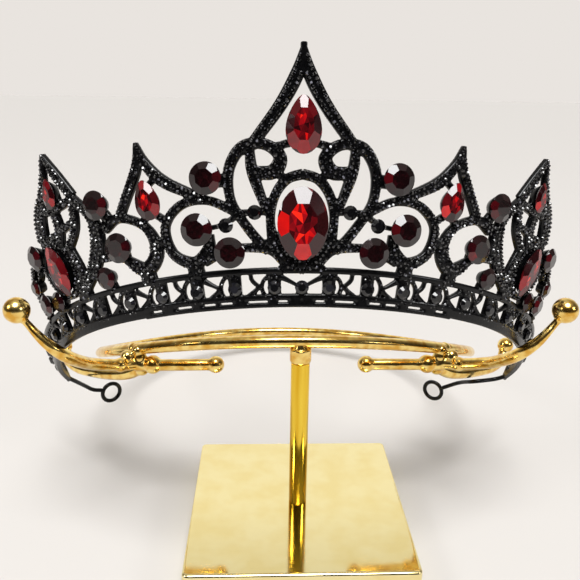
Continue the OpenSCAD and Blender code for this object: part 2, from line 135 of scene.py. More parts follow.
# %% Tables of the openwork
PEAKS = {
    "front_leg": [(-0.2, 67.2, 1), (1.1, 60, 2.9), (4.8, 51.5, 3), (11.2, 41.6, 2.8)],
    "peak_in": [(36.5, 46.8, 0.8), (35.3, 41, 2.6), (31.2, 35, 3.2), (22, 29, 2.4)],
    "peak_out": [(36.5, 46.8, 0.8), (37.8, 40, 2.7), (44.9, 28.6, 2.7)],
    "side_in": [(61.9, 52.9, 0.8), (60, 46, 2.7), (57, 38.4, 2.8)],
    "side_out": [(61.9, 52.9, 0.8), (65.2, 44.6, 2.5), (70.8, 37, 4.6), (73, 30.4, 4.8)],
}
SCROLLS = {
    "heart_scroll": [(14, 22.8, 2), (16.5, 29, 2.3), (16.2, 36.4, 2.6), (12.8, 41.9, 3),
                     (8, 42.1, 3), (4.9, 38.8, 3.1), (6.5, 35.1, 3.9), (10.6, 35.1, 3.4)],
    "heart_stem": [(11.4, 41.6, 2), (11, 35, 2.7), (8.3, 25, 2.1)],
    "oval_ring": [(-0.2, 34.5, 2.9), (3.4, 33.2, 2.7), (6, 29.6, 2.4), (7.3, 25, 2.3), (7.4, 20.6, 2.4),
                  (6.5, 16.2, 3.6), (4.6, 13, 4.2), (2.6, 11.2, 3.6), (-0.2, 10.8, 3.6)],
    "front_bar": [(4.4, 11.8, 2.6), (8, 15.1, 2.8), (15.2, 15.9, 2.4)],
    "front_brace": [(15.4, 25.2, 2.4), (11.7, 19, 2.6), (8, 14.4, 2.6)],
    "inner_scroll": [(15.7, 25.3, 2.4), (21.8, 28.9, 2.5), (28.4, 28.6, 2.6), (33.2, 23.5, 2.4),
                     (32.4, 16.2, 2.8), (27.4, 13, 3.5), (23.4, 15.4, 3.8), (22.2, 20.2, 2)],
    "outer_scroll": [(50.4, 26.9, 3.8), (45, 28.4, 2.8), (38.4, 24.4, 2.5),
                     (36.7, 17.5, 3.8), (40.8, 13.2, 4.4), (45.8, 16.8, 2.6)],
    "stem": [(57.4, 38.4, 2.2), (53.3, 31, 2.9), (53.1, 24.6, 4.4), (56.4, 18, 4.4), (62, 12.8, 3.6)],
    "stem_foot": [(54, 12.6, 2), (57.4, 15.9, 3.2)],
    "tall_scroll": [(57.2, 38.2, 2.3), (59.2, 29.8, 2.4), (64, 24.6, 2.6)],
    "side_left": [(70, 30.2, 2), (66.2, 24.6, 3), (65, 18.4, 3.6), (67, 12.8, 2.4), (70.8, 12.2, 2)],
    "side_right": [(72.6, 30.2, 2), (77, 23.6, 1.7), (75, 16, 1.7), (70.4, 12, 2)],
    "side_fill": [(63.6, 24.6, 3), (62.4, 17, 4), (63, 11.4, 3.6)],
    "side_bar": [(57.6, 37.6, 2.6), (65, 37.2, 2.8), (69.4, 38.6, 2.8)],
    "side_stem": [(64.6, 37.4, 2.4), (64.6, 32, 3), (66.4, 26.6, 2.4)],
    "side_web": [(58.4, 32, 2), (65, 30.5, 2.2), (74, 30.2, 2.4)],
    "end_leg": [(83.8, 27, 2), (88.4, 21.6, 2.2), (88, 13, 2.4)],
    "end_foot": [(73, 13.4, 1.8), (80, 12.8, 2.4), (86.6, 14.4, 2.2)],
    "scroll_bridge": [(33.2, 20, 2.4), (37.4, 19.8, 2.4)],
}
TIES = {
    "drop_tie": [(15.2, 24.8, 1.6), (18, 22.4, 1.4), (22.6, 21.6, 1.4)],
    "peak_seat": [(32.4, 24.8, 2), (36.2, 27.6, 2), (40, 25.2, 2)],
    "stem_tie": [(51, 28.4, 1.6), (54, 26.4, 1.6)],
    "end_tie": [(76.4, 27.6, 2), (81.4, 28.6, 2.2)],
    "end_hook": [(81, 26.4, 1.4), (80.8, 23.8, 1.4), (83.2, 22, 1.4), (87.6, 22.6, 1.4)],
    "dot_bar_1": [(8, 24.8, 1.8), (15, 25, 1.8)],
    "dot_bar_2": [(16.2, 23.6, 1.7), (19.6, 22, 1.7)],
    "round_1_arm": [(16.8, 33.6, 3.4), (20, 33.8, 4)],
    "round_4_arm": [(45.8, 16.4, 2.6), (46.3, 19.6, 3.4)],
    "round_4_tie": [(49, 18.6, 2.4), (53.4, 18.8, 2.2)],
    "round_5_arm": [(50, 33.4, 3.4), (54, 32.6, 2.6)],
    "round_5_seat": [(49.4, 31, 3), (48.2, 28.4, 3)],
    "pear_1_arm": [(36.6, 34.6, 1.8), (33.6, 36.6, 1.6)],
    "pear_2_arm": [(62.4, 40.8, 2.6), (62.4, 37.4, 3)],
    "navette_arm": [(65, 19, 3), (68, 20, 4)],
    "navette_top": [(70.6, 29.6, 2.6), (70.8, 25.2, 3)],
    "front_pear_arm": [(0.4, 43, 2.4), (6.2, 41.4, 2)],
    "oval_arm": [(6.8, 18, 3), (3.6, 18.4, 3)],
    "front_foot": [(-0.2, 11.2, 6), (2.4, 10.8, 3.2), (5.8, 9.6, 2)],
    "inner_foot": [(27, 9, 5), (27.2, 13, 4)],
    "outer_foot": [(40.4, 9, 4.6), (40.8, 13.4, 4.6)],
    "round_3_arm": [(19.4, 15.4, 3), (24.6, 12.8, 2.8)],
    "round_6_foot": [(51.8, 9, 2.4), (53, 12.4, 3)],
    "stem_base": [(63.8, 9, 6.6), (63.4, 12.6, 5.2)],
    "navette_foot": [(76, 9, 2.6), (75, 13, 2.4)],
    "end_leg_foot": [(87.6, 9, 2.4), (87.8, 13.4, 2.6)],
}
SIDE_STONES = {
    "round_1": ("round", 21.2, 34.6, 8.6, 8.6, 0),
    "round_2": ("round", 24.7, 21.7, 8.7, 8.7, 0),
    "round_3": ("round", 17.4, 14.9, 8.2, 8.2, 0),
    "round_4": ("round", 46.2, 20.6, 8.3, 8.3, 0),
    "round_5": ("round", 49.6, 33.4, 8.2, 8.2, 0),
    "round_6": ("round", 52.4, 13.4, 6.3, 6.3, 0),
    "round_7": ("round", 77.4, 27.6, 7.8, 7.8, 0),
    "round_8": ("round", 84.6, 20.4, 5.6, 5.6, 0),
    "round_9": ("round", 74.4, 12.2, 6.4, 6.4, 0),
    "round_10": ("round", 82, 13.7, 7, 7, 0),
    "pear_1": ("pear", 35.6, 31.3, 8, 10.8, -4),
    "pear_2": ("pear", 62.4, 41.3, 5.8, 8.8, 12),
    "navette": ("navette", 68.6, 20.2, 8.6, 16, -10),
    "dot_1": ("dot", 10.9, 24.9, 3.9, 3.9, 0),
    "dot_2": ("dot", 17.8, 22, 3.9, 3.9, 0),
}
FRONT_STONES = {
    "front_pear": ("pear", 0, 46.7, 10.2, 14.7, 0),
    "front_oval": ("oval", 0, 21.8, 13.2, 18.8, 0),
}
METAL_BACK, METAL_FRONT = 1.4, 0.3

# %% [markdown]
# Colours are written as the sRGB hex values that a colour picker shows. Shaders work with linear light,
# so one function turns them. Another adds a node, sets it up and links it, so that each material below
# reads as a short recipe.

# %% Helpers for materials
def linear(hex_colour):
    """Linear RGBA of an sRGB hex colour."""
    parts = [int(hex_colour[i:i + 2], 16) / 255 for i in (1, 3, 5)]
    return [v / 12.92 if v <= 0.04045 else ((v + 0.055) / 1.055) ** 2.4 for v in parts] + [1.0]


def add_node(tree, kind, settings=None, inputs=None):
    """A new node with its settings; an input is a value, or a socket that is linked to it."""
    node = tree.nodes.new(kind)
    for name, value in (settings or {}).items():
        setattr(node, name, value)
    for name, value in (inputs or {}).items():
        if isinstance(value, bpy.types.NodeSocket):
            tree.links.new(value, node.inputs[name])
        else:
            node.inputs[name].default_value = value
    return node


def set_ramp(ramp, stops):
    """Colour stops of a ramp, as (place, hex colour)."""
    while len(ramp.color_ramp.elements) > 1:
        ramp.color_ramp.elements.remove(ramp.color_ramp.elements[0])
    for i, (place, colour) in enumerate(stops):
        stop = ramp.color_ramp.elements[0] if i == 0 else ramp.color_ramp.elements.new(place)
        stop.position = place
        stop.color = linear(colour)


def new_material(name):
    """An empty node material with its shader, ready for links."""
    material = bpy.data.materials.new(name)
    material.use_nodes = True
    shader = material.node_tree.nodes["Principled BSDF"]
    return material, material.node_tree, shader


# %% [markdown]
# The tiara is a zinc alloy casting with a black electroplated and lacquered finish. The lacquer is
# a clear smooth coat, so the black is deep, and every small edge gives a thin bright glint. Casting
# leaves a faint orange-peel surface, about a third of a millimetre across.

# %% Materials of the tiara
def black_plated_casting():
    material, tree, shader = new_material("black_plated_zinc_casting")
    at = add_node(tree, "ShaderNodeTexCoord")
    grain = add_node(tree, "ShaderNodeTexNoise", None,
                     {"Vector": at.outputs["Object"], "Scale": 1 / (0.9 * MM), "Detail": 3.0})
    tone = add_node(tree, "ShaderNodeValToRGB", None, {"Fac": grain.outputs["Fac"]})
    set_ramp(tone, [(0.35, "#030304"), (0.65, "#09090b")])
    bump = add_node(tree, "ShaderNodeBump", None,
                    {"Height": grain.outputs["Fac"], "Strength": 0.35, "Distance": 0.25 * MM})
    tree.links.new(tone.outputs["Color"], shader.inputs["Base Color"])
    tree.links.new(bump.outputs["Normal"], shader.inputs["Normal"])
    shader.inputs["Roughness"].default_value = 0.3
    shader.inputs["Specular IOR Level"].default_value = 0.12
    shader.inputs["Coat Weight"].default_value = 0.25
    shader.inputs["Coat Roughness"].default_value = 0.04
    return material


def black_pave_glass():
    material, tree, shader = new_material("black_pave_glass")
    spark = add_node(tree, "ShaderNodeAttribute", {"attribute_name": "painted_light"})
    tone = add_node(tree, "ShaderNodeValToRGB", None, {"Fac": spark.outputs["Fac"]})
    # Most facets stay near black; the few with the highest values get a painted grey glint
    set_ramp(tone, [(0.0, "#020203"), (0.8, "#060608"), (0.93, "#1c1c22"), (1.0, "#85858f")])
    tree.links.new(tone.outputs["Color"], shader.inputs["Base Color"])
    shader.inputs["Roughness"].default_value = 0.08
    shader.inputs["Coat Weight"].default_value = 1.0
    shader.inputs["Coat Roughness"].default_value = 0.02
    return material


def cut_glass(name, stops, roughness):
    """Foiled glass with painted light: each facet's painted tone of light is picked from the ramp by its own face
    value.
    """
    material, tree, shader = new_material(name)
    spark = add_node(tree, "ShaderNodeAttribute", {"attribute_name": "painted_light"})
    at = add_node(tree, "ShaderNodeTexCoord")
    cloud = add_node(tree, "ShaderNodeTexNoise", None,
                     {"Vector": at.outputs["Object"], "Scale": 1 / (2.5 * MM), "Detail": 1.0})
    # Random cloudy patches shift each facet's painted tone of light a little
    drift = add_node(tree, "ShaderNodeMath", {"operation": "MULTIPLY_ADD"},
                     {0: cloud.outputs["Fac"], 1: 0.16, 2: spark.outputs["Fac"]})
    shift = add_node(tree, "ShaderNodeMath", {"operation": "SUBTRACT"}, {0: drift.outputs[0], 1: 0.08})
    tone = add_node(tree, "ShaderNodeValToRGB", None, {"Fac": shift.outputs[0]})
    set_ramp(tone, stops)
    tree.links.new(tone.outputs["Color"], shader.inputs["Base Color"])
    shader.inputs["Roughness"].default_value = roughness
    shader.inputs["Specular IOR Level"].default_value = 0.15
    shader.inputs["Coat Weight"].default_value = 0.75
    shader.inputs["Coat Roughness"].default_value = 0.01
    shader.inputs["Coat IOR"].default_value = 1.6
    return material


BLACK_METAL = black_plated_casting()
PAVE_GLASS = black_pave_glass()
# The ramps run from the unlit glass to its brightest painted light: the bright reds and greys are painted light that
# stands in for the foil's reflections
BRIGHT_GARNET = cut_glass("garnet_red_foiled_glass", [
    (0.0, "#120204"), (0.3, "#300509"), (0.55, "#6a0a12"), (0.75, "#a80d16"), (0.92, "#dc1410"), (1.0, "#ff2c1c")], 0.2)
DARK_GARNET = cut_glass("dark_garnet_foiled_glass", [
    (0.0, "#080102"), (0.35, "#140305"), (0.6, "#26050a"), (0.82, "#5a0810"), (1.0, "#c81618")], 0.2)
SMOKY_GLASS = cut_glass("smoky_black_foiled_glass", [
    (0.0, "#050506"), (0.6, "#0e0e11"), (0.9, "#24242a"), (1.0, "#55555f")], 0.15)
print(len(bpy.data.materials), "materials so far")

# %% [markdown]
# Operators act on whatever is selected, and the loaded model is selected at first. These small helpers
# start each piece from a clean selection, and finish it: the modifiers are applied, the normals point
# outwards, and the piece rides on the stand's one body with its material.

# %% Helpers for modelling
def deselect():
    if bpy.context.object and bpy.context.object.mode != "OBJECT":
        bpy.ops.object.mode_set(mode="OBJECT")
    bpy.ops.object.select_all(action="DESELECT")


def select(*objects):
    deselect()
    for each in objects:
        each.select_set(True)
    bpy.context.view_layer.objects.active = objects[0]


def edit(piece, *steps):
    """Edit mode with everything selected, for a few operators in a row."""
    select(piece)
    bpy.ops.object.mode_set(mode="EDIT")
    bpy.ops.mesh.select_all(action="SELECT")
    for step in steps:
        step()
    bpy.ops.object.mode_set(mode="OBJECT")


def select_faces(piece, wanted):
    """Edit mode with only the faces selected that pass a test, and no other point or edge."""
    select(piece)
    for part in (piece.data.vertices, piece.data.edges):
        part.foreach_set("select", [False] * len(part))
    for face in piece.data.polygons:
        face.select = wanted(face)
    bpy.ops.object.mode_set(mode="EDIT")


def outward():
    bpy.ops.mesh.normals_make_consistent(inside=False)


def apply_modifiers(piece):
    select(piece)
    for modifier in list(piece.modifiers):
        bpy.ops.object.modifier_apply(modifier=modifier.name)


def join(name, pieces):
    select(*pieces)
    bpy.ops.object.join()
    piece = bpy.context.object
    piece.name = name
    return piece


def read_points(piece):
    points = np.empty(len(piece.data.vertices) * 3)
    piece.data.vertices.foreach_get("co", points)
    return points.reshape(-1, 3)


def write_points(piece, points):
    piece.data.vertices.foreach_set("co", np.asarray(points, float).ravel())
    piece.data.update()


def settle(piece):
    """Moves an object's place into its mesh, so that the object itself sits at the origin."""
    select(piece)
    bpy.ops.object.transform_apply(location=True, rotation=True, scale=True)


def in_metres(piece):
    write_points(piece, read_points(piece) * MM)
    return piece


def finish_piece(piece, name, material, replaces=(), smooth=None):
    piece.name = name
    piece.data.name = name
    piece.data.materials.clear()
    piece.data.materials.append(material)
    select(piece)
    if smooth is None:
        bpy.ops.object.shade_flat()
    else:
        bpy.ops.object.shade_smooth_by_angle(angle=math.radians(smooth))
    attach(piece, "root")
    if replaces:
        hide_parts(*replaces)
    return piece


def mirrored(piece, name):
    """A copy on the other side of the bench's middle line, with its faces turned the right way out."""
    select(piece)
    bpy.ops.object.duplicate()
    other = bpy.context.object
    other.name = name
    write_points(other, read_points(other) * (-1, 1, 1))
    edit(other, bpy.ops.mesh.flip_normals)
    return other


# %% [markdown]
# A strip of the openwork is swept on the bench: a curve through the table's rows carries its middle line,
# the curve's radius its width, and a small profile curve its section, a low dome with straight sides.
# A curve scales the whole section with its radius, so the depth is set back to the casting's own
# afterwards. Smooth lines come from the same blend of four neighbouring rows as in the CAD source.

# %% Sweeping strips on the bench
STRIP_SECTION = [(-1, -1.4), (-0.96, -0.25), (-0.7, 0.22), (0, 0.34), (0.7, 0.22), (0.96, -0.25), (1, -1.4)]


def smooth_line(rows, step=1.0):
    """Points of a smooth curve through the rows of a table, about a step apart."""
    rows = np.array(rows, float)
    padded = np.vstack([2 * rows[0] - rows[1], rows, 2 * rows[-1] - rows[-2]])
    line = []
    for a, b, c, d in zip(padded, padded[1:], padded[2:], padded[3:]):
        count = max(2, math.ceil(np.linalg.norm(c[:2] - b[:2]) / step))
        for x in np.arange(count) / count:
            line.append(0.5 * (2 * b + (c - a) * x + (2 * a - 5 * b + 4 * c - d) * x ** 2
                               + (3 * b - a - 3 * c + d) * x ** 3))
    line.append(rows[-1])
    return np.array(line)


def profile_curve(section):
    """A closed profile as a flat curve object, one unit to each side."""
    bpy.ops.curve.primitive_bezier_circle_add()
    profile = bpy.context.object
    profile.data.dimensions = "2D"
    profile.data.splines.clear()
    spline = profile.data.splines.new("POLY")
    spline.points.add(len(section) - 1)
    for point, (x, y) in zip(spline.points, section):
        point.co = (x, y, 0, 1)
    spline.use_cyclic_u = True
    return profile


def sweep(name, lines, section, flat=True):
    """Sweeps the section along every line (along, up, width, and optionally out, which is not read) on the bench."""
    deselect()
    profile = profile_curve(section)
    bpy.ops.curve.primitive_bezier_curve_add()
    strips = bpy.context.object
    strips.data.splines.clear()
    strips.data.twist_mode = "Z_UP"
    for line in lines:
        spline = strips.data.splines.new("POLY")
        spline.points.add(len(line) - 1)
        for point, row in zip(spline.points, line):
            point.co = (row[0], row[1], 0, 1)
            point.radius = row[2] / 2
    strips.data.bevel_mode = "OBJECT"
    strips.data.bevel_object = profile
    select(strips)
    bpy.ops.object.convert(target="MESH")
    if flat:
        points = read_points(strips)
        half_widths = np.concatenate([np.repeat(np.asarray(line)[:, 2] / 2, len(section)) for line in lines])
        points[:, 2] /= half_widths
        write_points(strips, points)
    edit(strips, lambda: bpy.ops.mesh.fill_holes(sides=0), outward)
    bpy.data.objects.remove(profile)
    strips.name = name
    return strips


# %% [markdown]
# In the real casting the strips are one piece of metal. A voxel remesh melts the crossing sweeps into
# one skin, as wax patterns are melted together before casting, and a few rounds of smoothing round its
# edges. It is done on the flat bench, where the grid of voxels follows the strips' faces.

# %% Melting a pattern into one casting
VOXEL = 0.3


def melt(piece, voxel=VOXEL, rounds=3):
    select(piece)
    piece.data.remesh_voxel_size = voxel
    piece.data.use_remesh_preserve_volume = True
    bpy.ops.object.voxel_remesh()
    bpy.ops.object.modifier_add(type="SMOOTH")
    piece.modifiers[-1].factor = 0.5
    piece.modifiers[-1].iterations = rounds
    apply_modifiers(piece)
    return piece


def bend(piece):
    """From the bench to the wall."""
    write_points(piece, wall(read_points(piece)))
    return piece


strip_lines = {name: smooth_line(rows) for group in (PEAKS, SCROLLS, TIES) for name, rows in group.items()}
openwork = sweep("openwork_right", list(strip_lines.values()), STRIP_SECTION)
print("openwork before melting:", len(openwork.data.polygons), "faces",
      [round(v, 2) for v in read_points(openwork).min(axis=0)], [round(v, 2) for v in read_points(openwork).max(axis=0)])
melt(openwork)
print("openwork after melting:", len(openwork.data.polygons), "faces")
left_openwork = mirrored(openwork, "openwork_left")

# %% [markdown]
# The band below the openwork is pierced filigree: a plain wire along the top, two rails below with slits
# between them, and a row of cells. Each cell has a seat for a small stone, an open crescent beside it and
# a vine that slopes down to the next cell. The cells alternate between two sorts.

# %% The pierced band
BAND_END, BAND_H = 135, 9.9
BEAD_PITCH, BEAD_D, BEAD_UP = 10.2, 3.7, 5.1
BEAD_COUNT = int((BAND_END - 2) // BEAD_PITCH)
TOP_WIRE_UP = BAND_H - 0.4
SLIT_END = 44
SLIT_BARS = [(1.6, 4.2), (7.5, 2.8), (16.2, 4.2), (22.3, 1.3), (28, 3.4), (36.4, 4.6)]
WIRE_SECTION = [(math.cos(a), math.sin(a)) for a in np.arange(10) * 2 * math.pi / 10]
RAIL_SECTION = [(-1, -1.4), (-1, 0), (-0.6, 0.3), (0.6, 0.3), (1, 0), (1, -1.4)]
VINE_SECTION = [(-1, -1.1), (-1, -0.1), (-0.4, 0.15), (0.4, 0.15), (1, -0.1), (1, -1.1)]


def bead_at(k):
    return 0 if k == 0 else 7 + (k - 1) * BEAD_PITCH


def straight(start, end, width, step=2.0):
    count = max(2, math.ceil(math.dist(start, end) / step) + 1)
    return np.array([(*p, width) for p in np.linspace(start, end, count)])


def arc(centre, radius, start, end, width):
    turns = np.radians(np.linspace(start, end, 12))
    return np.array([(centre[0] + radius * math.cos(a), centre[1] + radius * math.sin(a), width) for a in turns])


def band_cell(k):
    """Crescent, seat and vine of one cell, as lines on the bench."""
    s = bead_at(k)
    lines = [arc((s, BEAD_UP), 3.3 if k == 1 else 3.9, -56, 74, 1.1),
             straight((s, BEAD_UP), (s, TOP_WIRE_UP), 3.4),
             straight((s, 2.4), (s, BEAD_UP), 3.4)]
    if k < BEAD_COUNT - 2:
        lines.append(hook(s) if k % 2 else wing(s + 4.2, s + 8.1))
        lines.append(smooth_line([(s + 4.1, BEAD_UP + 0.1, 1.1), (s + 5.2, 4.1, 1.3), (s + 7, 2.8, 1.4)]))
    return lines


def hook(s):
    """A vine that curls down from the top wire to the crescent of a cell at s."""
    return smooth_line([(s + 6, TOP_WIRE_UP, 0.9), (s + 5.9, 7.5, 1.1), (s + 5.1, 6.3, 1.1), (s + 4, BEAD_UP + 0.3, 1)])


def wing(low, high):
    """A vine that rises from the crescent of one cell to the shoulder of the next."""
    return smooth_line([(low, BEAD_UP + 0.3, 0.9), (low + 1.9, 6.5, 1.1), (high, 7.8, 1.6)])


def band_lines():
    rails = [straight((-0.3, TOP_WIRE_UP), (BAND_END, TOP_WIRE_UP), 1.7),
             straight((-0.3, 2.45), (SLIT_END, 2.45), 1.7),
             straight((-0.3, 0.35), (SLIT_END, 0.35), 1.3),
             straight((SLIT_END - 2, 1.6), (BAND_END, 1.6), 3.2),
             straight((BAND_END - 0.6, 0.2), (BAND_END - 0.6, BAND_H), 2.0)]
    rails += [straight((s, 0.5), (s, 2.5), width) for s, width in SLIT_BARS]
    vines = [wing(1, 5.4), straight((0, 2.4), (0, BEAD_UP), 3)]
    for k in range(1, BEAD_COUNT + 1):
        vines += band_cell(k)
    return rails, vines


rails, vines = band_lines()
band = join("band_right", [sweep("rails", rails, RAIL_SECTION), sweep("vines", vines, VINE_SECTION)])
melt(band, voxel=0.26, rounds=2)
left_band = mirrored(band, "band_left")
print("band:", len(band.data.polygons), "faces a side,", BEAD_COUNT, "cells")

# %% [markdown]
# Behind the band the metal runs on as a bare round wire, bent at its end into a loop for a pin. The two
# wires were bent by hand and differ, so each has its own table of places on the stand. A curve with a
# round bevel follows the places, and the radius at each of its points can make a rod thinner on its way.

# %% The bare wires with their loops
WIRE_D, LOOP_R = 1.6, 3.7
LEFT_WIRE = [(-86.6, 26.6, 46), (-84.6, 30.8, 42.1), (-82.8, 36.6, 37.1), (-80.6, 40, 33.6), (-76.6, 40.2, 33.2)]
RIGHT_WIRE = [(82, 26.6, 46), (78, 28.6, 43.4), (69.6, 27.4, 43), (66.2, 35.4, 38.4), (60.4, 40.2, 33.4)]


def tube(name, path, diameters, sides=5):
    """A round tube along points in mm, closed at its ends."""
    bpy.ops.curve.primitive_bezier_curve_add()
    piece = bpy.context.object
    piece.data.splines.clear()
    spline = piece.data.splines.new("POLY")
    spline.points.add(len(path) - 1)
    for point, co, diameter in zip(spline.points, path, np.broadcast_to(diameters, len(path))):
        point.co = (*co, 1)
        point.radius = diameter / 2
    piece.data.twist_mode = "MINIMUM"
    piece.data.bevel_depth = 1
    piece.data.bevel_resolution = sides
    piece.data.use_fill_caps = False
    select(piece)
    bpy.ops.object.convert(target="MESH")
    edit(piece, lambda: bpy.ops.mesh.fill_holes(sides=0), outward)
    piece.name = name
    return piece


def pin_loop(last, inward):
    """Almost a full turn from the wire's last point, in the upright plane that runs inwards."""
    turns = np.radians(np.arange(150, -211, -15))
    across, up = np.cos(turns) - np.cos(turns[0]), np.sin(turns) - np.sin(turns[0])
    return last + LOOP_R * (across[:, None] * inward + up[:, None] * (0, 0, 1))


def make_wires():
    for rows, name in ((RIGHT_WIRE, "right"), (LEFT_WIRE, "left")):
        inward = np.array([-0.8 if rows[0][0] > 0 else 0.8, 0.6, 0])
        path = np.vstack([smooth_line(rows)[:-1], pin_loop(np.array(rows[-1]), inward)])
        piece = in_metres(tube(f"wire_{name}", path, WIRE_D))
        finish_piece(piece, f"wire_{name}", BLACK_METAL, ["tiara_frame"], 40)


make_wires()

# %% [markdown]
# Behind each main stone the casting has a cup, a short six-sided cone that the stone is glued into. It
# shows from behind, where the tiara is otherwise a lace of black metal.

# %% Cups behind the stones
CUP_BACK, CUP_FRONT = -1.6, 0.75


def outline_factor(kind, y):
    """How much an outline narrows at height y, from -1 at its foot to 1 at its tip."""
    if kind == "pear":
        return 1 - 0.45 * ((1 + y) / 2) ** 2
    if kind == "navette":
        return 1 - 0.28 * y ** 2
    return np.ones_like(y)


def make_cup(kind, width, length):
    bpy.ops.mesh.primitive_cone_add(vertices=24, radius1=0.56 / 2, radius2=0.86 / 2, depth=CUP_FRONT - CUP_BACK,
                                    location=(0, 0, (CUP_FRONT + CUP_BACK) / 2))
    cup = bpy.context.object
    settle(cup)
    points = read_points(cup)
    points[:, 0] *= outline_factor(kind, np.clip(points[:, 1] / 0.43, -1, 1)) * width
    points[:, 1] *= length
    write_points(cup, points)
    bpy.ops.object.modifier_add(type="BEVEL")
    cup.modifiers[-1].width = 0.2
    cup.modifiers[-1].segments = 2
    cup.modifiers[-1].angle_limit = math.radians(50)
    apply_modifiers(cup)
    return cup


def place(piece, along, up, lean=0.0):
    """Puts a piece that is modelled flat, in mm, on its spot of the wall."""
    matrix = wall_frame(along, up, math.radians(lean))
    points = read_points(piece)
    write_points(piece, points @ np.array(matrix.to_3x3()).T + np.array(matrix.translation))
    return piece


def make_cups(side):
    cups = []
    for kind, along, up, width, length, lean in SIDE_STONES.values():
        if kind != "dot":
            cups.append(place(make_cup(kind, width, length), side * along, up, side * lean))
    return cups


def cast_side(side, name, openwork, band):
    cups = make_cups(side)
    if side > 0:
        for kind, along, up, width, length, lean in FRONT_STONES.values():
            cups.append(place(make_cup(kind, width, length), along, up, lean))
    bend(openwork)
    bend(band)
    finish_piece(join("cups", cups + [openwork]), f"openwork_{name}", BLACK_METAL, ["tiara_frame"], 40)
    finish_piece(band, f"band_{name}", BLACK_METAL, ["tiara_frame"], 40)


cast_side(1, "right", openwork, band)
cast_side(-1, "left", left_openwork, left_band)

# %% [markdown]
# The strips are set with small black glass stones, one row on the thin strips and two or three on the
# broad ones. One stone is modelled, an eight-sided cone with a table, and copied to each spot. A hand-set
# stone is never quite level, so each copy is turned and tipped a little, and that is what makes some of
# them flash in the lamps. A face value also gives each facet a painted tone of light: near black on most,
# and a painted grey glint on a few.

# %% Rows of small black stones
PAVE_D = 1.15
PAVE_PITCH = 1.22
PAVE_LIFT = 0.22


def pave_stone():
    bpy.ops.mesh.primitive_cone_add(vertices=8, radius1=0.5, radius2=0.28, depth=0.34, location=(0, 0, 0.25))
    stone = bpy.context.object
    settle(stone)
    select_faces(stone, lambda face: face.normal.z < -0.9)
    bpy.ops.mesh.extrude_region_move(TRANSFORM_OT_translate={"value": (0, 0, -0.22)})
    bpy.ops.transform.resize(value=(0.85, 0.85, 1))
    bpy.ops.object.mode_set(mode="OBJECT")
    return stone


def spots_along(rows, pitch):
    """Places of stones along a strip: (along, up, diameter)."""
    line = smooth_line(rows, 0.25)
    real = wall(np.column_stack([line[:, :2], np.zeros(len(line))])) / MM
    run = np.concatenate([[0], np.cumsum(np.linalg.norm(np.diff(real, axis=0), axis=1))])
    count = max(1, int(run[-1] / pitch))
    spots = []
    for i, at in enumerate((np.arange(count) + 0.5) * run[-1] / count):
        s, h, width = (np.interp(at, run, line[:, c]) for c in range(3))
        ahead = [np.interp(at + 0.2, run, line[:, c]) - np.interp(at - 0.2, run, line[:, c]) for c in range(2)]
        across = np.array([-ahead[1], ahead[0]]) / max(1e-9, math.hypot(*ahead))
        lanes = 1 if width < 1.75 else 2 if width < 3.1 else 3
        for lane in range(lanes):
            offset = (lane - (lanes - 1) / 2) * (width - 0.35) / lanes
            slip = (lane % 2) * pitch / 2 if lanes > 1 else 0
            spot = np.array([s, h]) + across * offset + np.array(ahead) / 0.4 * (slip - pitch / 4 * (lanes > 1))
            size = min(PAVE_D, (width - 0.2) / lanes * 1.12)
            spots.append((spot[0], spot[1], size))
    return spots


def inside_stone(s, h):
    for kind, along, up, width, length, lean in list(SIDE_STONES.values()) + list(FRONT_STONES.values()):
        turn = math.radians(lean)
        x, y = s - along, h - up
        x, y = x * math.cos(turn) + y * math.sin(turn), y * math.cos(turn) - x * math.sin(turn)
        if (x / (width / 2)) ** 2 + (y / (length / 2)) ** 2 < 0.8:
            return True
    return False


def pave_spots():
    """All spots of one side, each clear of the ones before it and of the main stones."""
    kept = []
    for group in (PEAKS, SCROLLS, TIES):
        for name, rows in group.items():
            for s, h, size in spots_along(rows, PAVE_PITCH):
                far = all(math.hypot(s - a, h - b) > 0.4 * (size + c) for a, b, c in kept)
                if s > 0.35 and h < 65.4 and far and not inside_stone(s, h):
                    kept.append((s, h, size))
    return kept


def band_spots():
    """Smaller stones on the crescents and necks of the band."""
    spots = []
    for k in range(1, BEAD_COUNT + 1):
        s = bead_at(k)
        radius = 3.2 if k == 1 else 3.8
        spots += [(s + radius * math.cos(a), BEAD_UP + radius * math.sin(a), 0.8)
                  for a in np.radians((66, 44, 22, 0, -22, -44))]
        spots += [(s - 0.6, BEAD_UP + 2.6, 0.8), (s + 0.6, BEAD_UP + 2.6, 0.8), (s, BEAD_UP + 3.5, 0.8)]
        spots += [(s - 1.0, 2.1, 0.8), (s, 2.5, 0.8), (s + 1.0, 2.1, 0.8)]
    return spots


def copies(name, model, frames, painted_lights):
    """One mesh of many copies of a model, each with its own matrix and a painted light value for each face."""
    source = read_points(model)
    faces = [list(face.vertices) for face in model.data.polygons]
    points, loops = [], []
    for i, matrix in enumerate(frames):
        points.append(source @ np.array(matrix.to_3x3()).T + np.array(matrix.translation))
        loops += [[v + i * len(source) for v in face] for face in faces]
    mesh = bpy.data.meshes.new(name)
    mesh.from_pydata(np.vstack(points).tolist(), [], loops)
    painted_light = mesh.attributes.new("painted_light", "FLOAT", "FACE")
    painted_light.data.foreach_set("value", np.asarray(painted_lights, float).ravel())
    piece = bpy.data.objects.new(name, mesh)
    bpy.context.collection.objects.link(piece)
    return piece


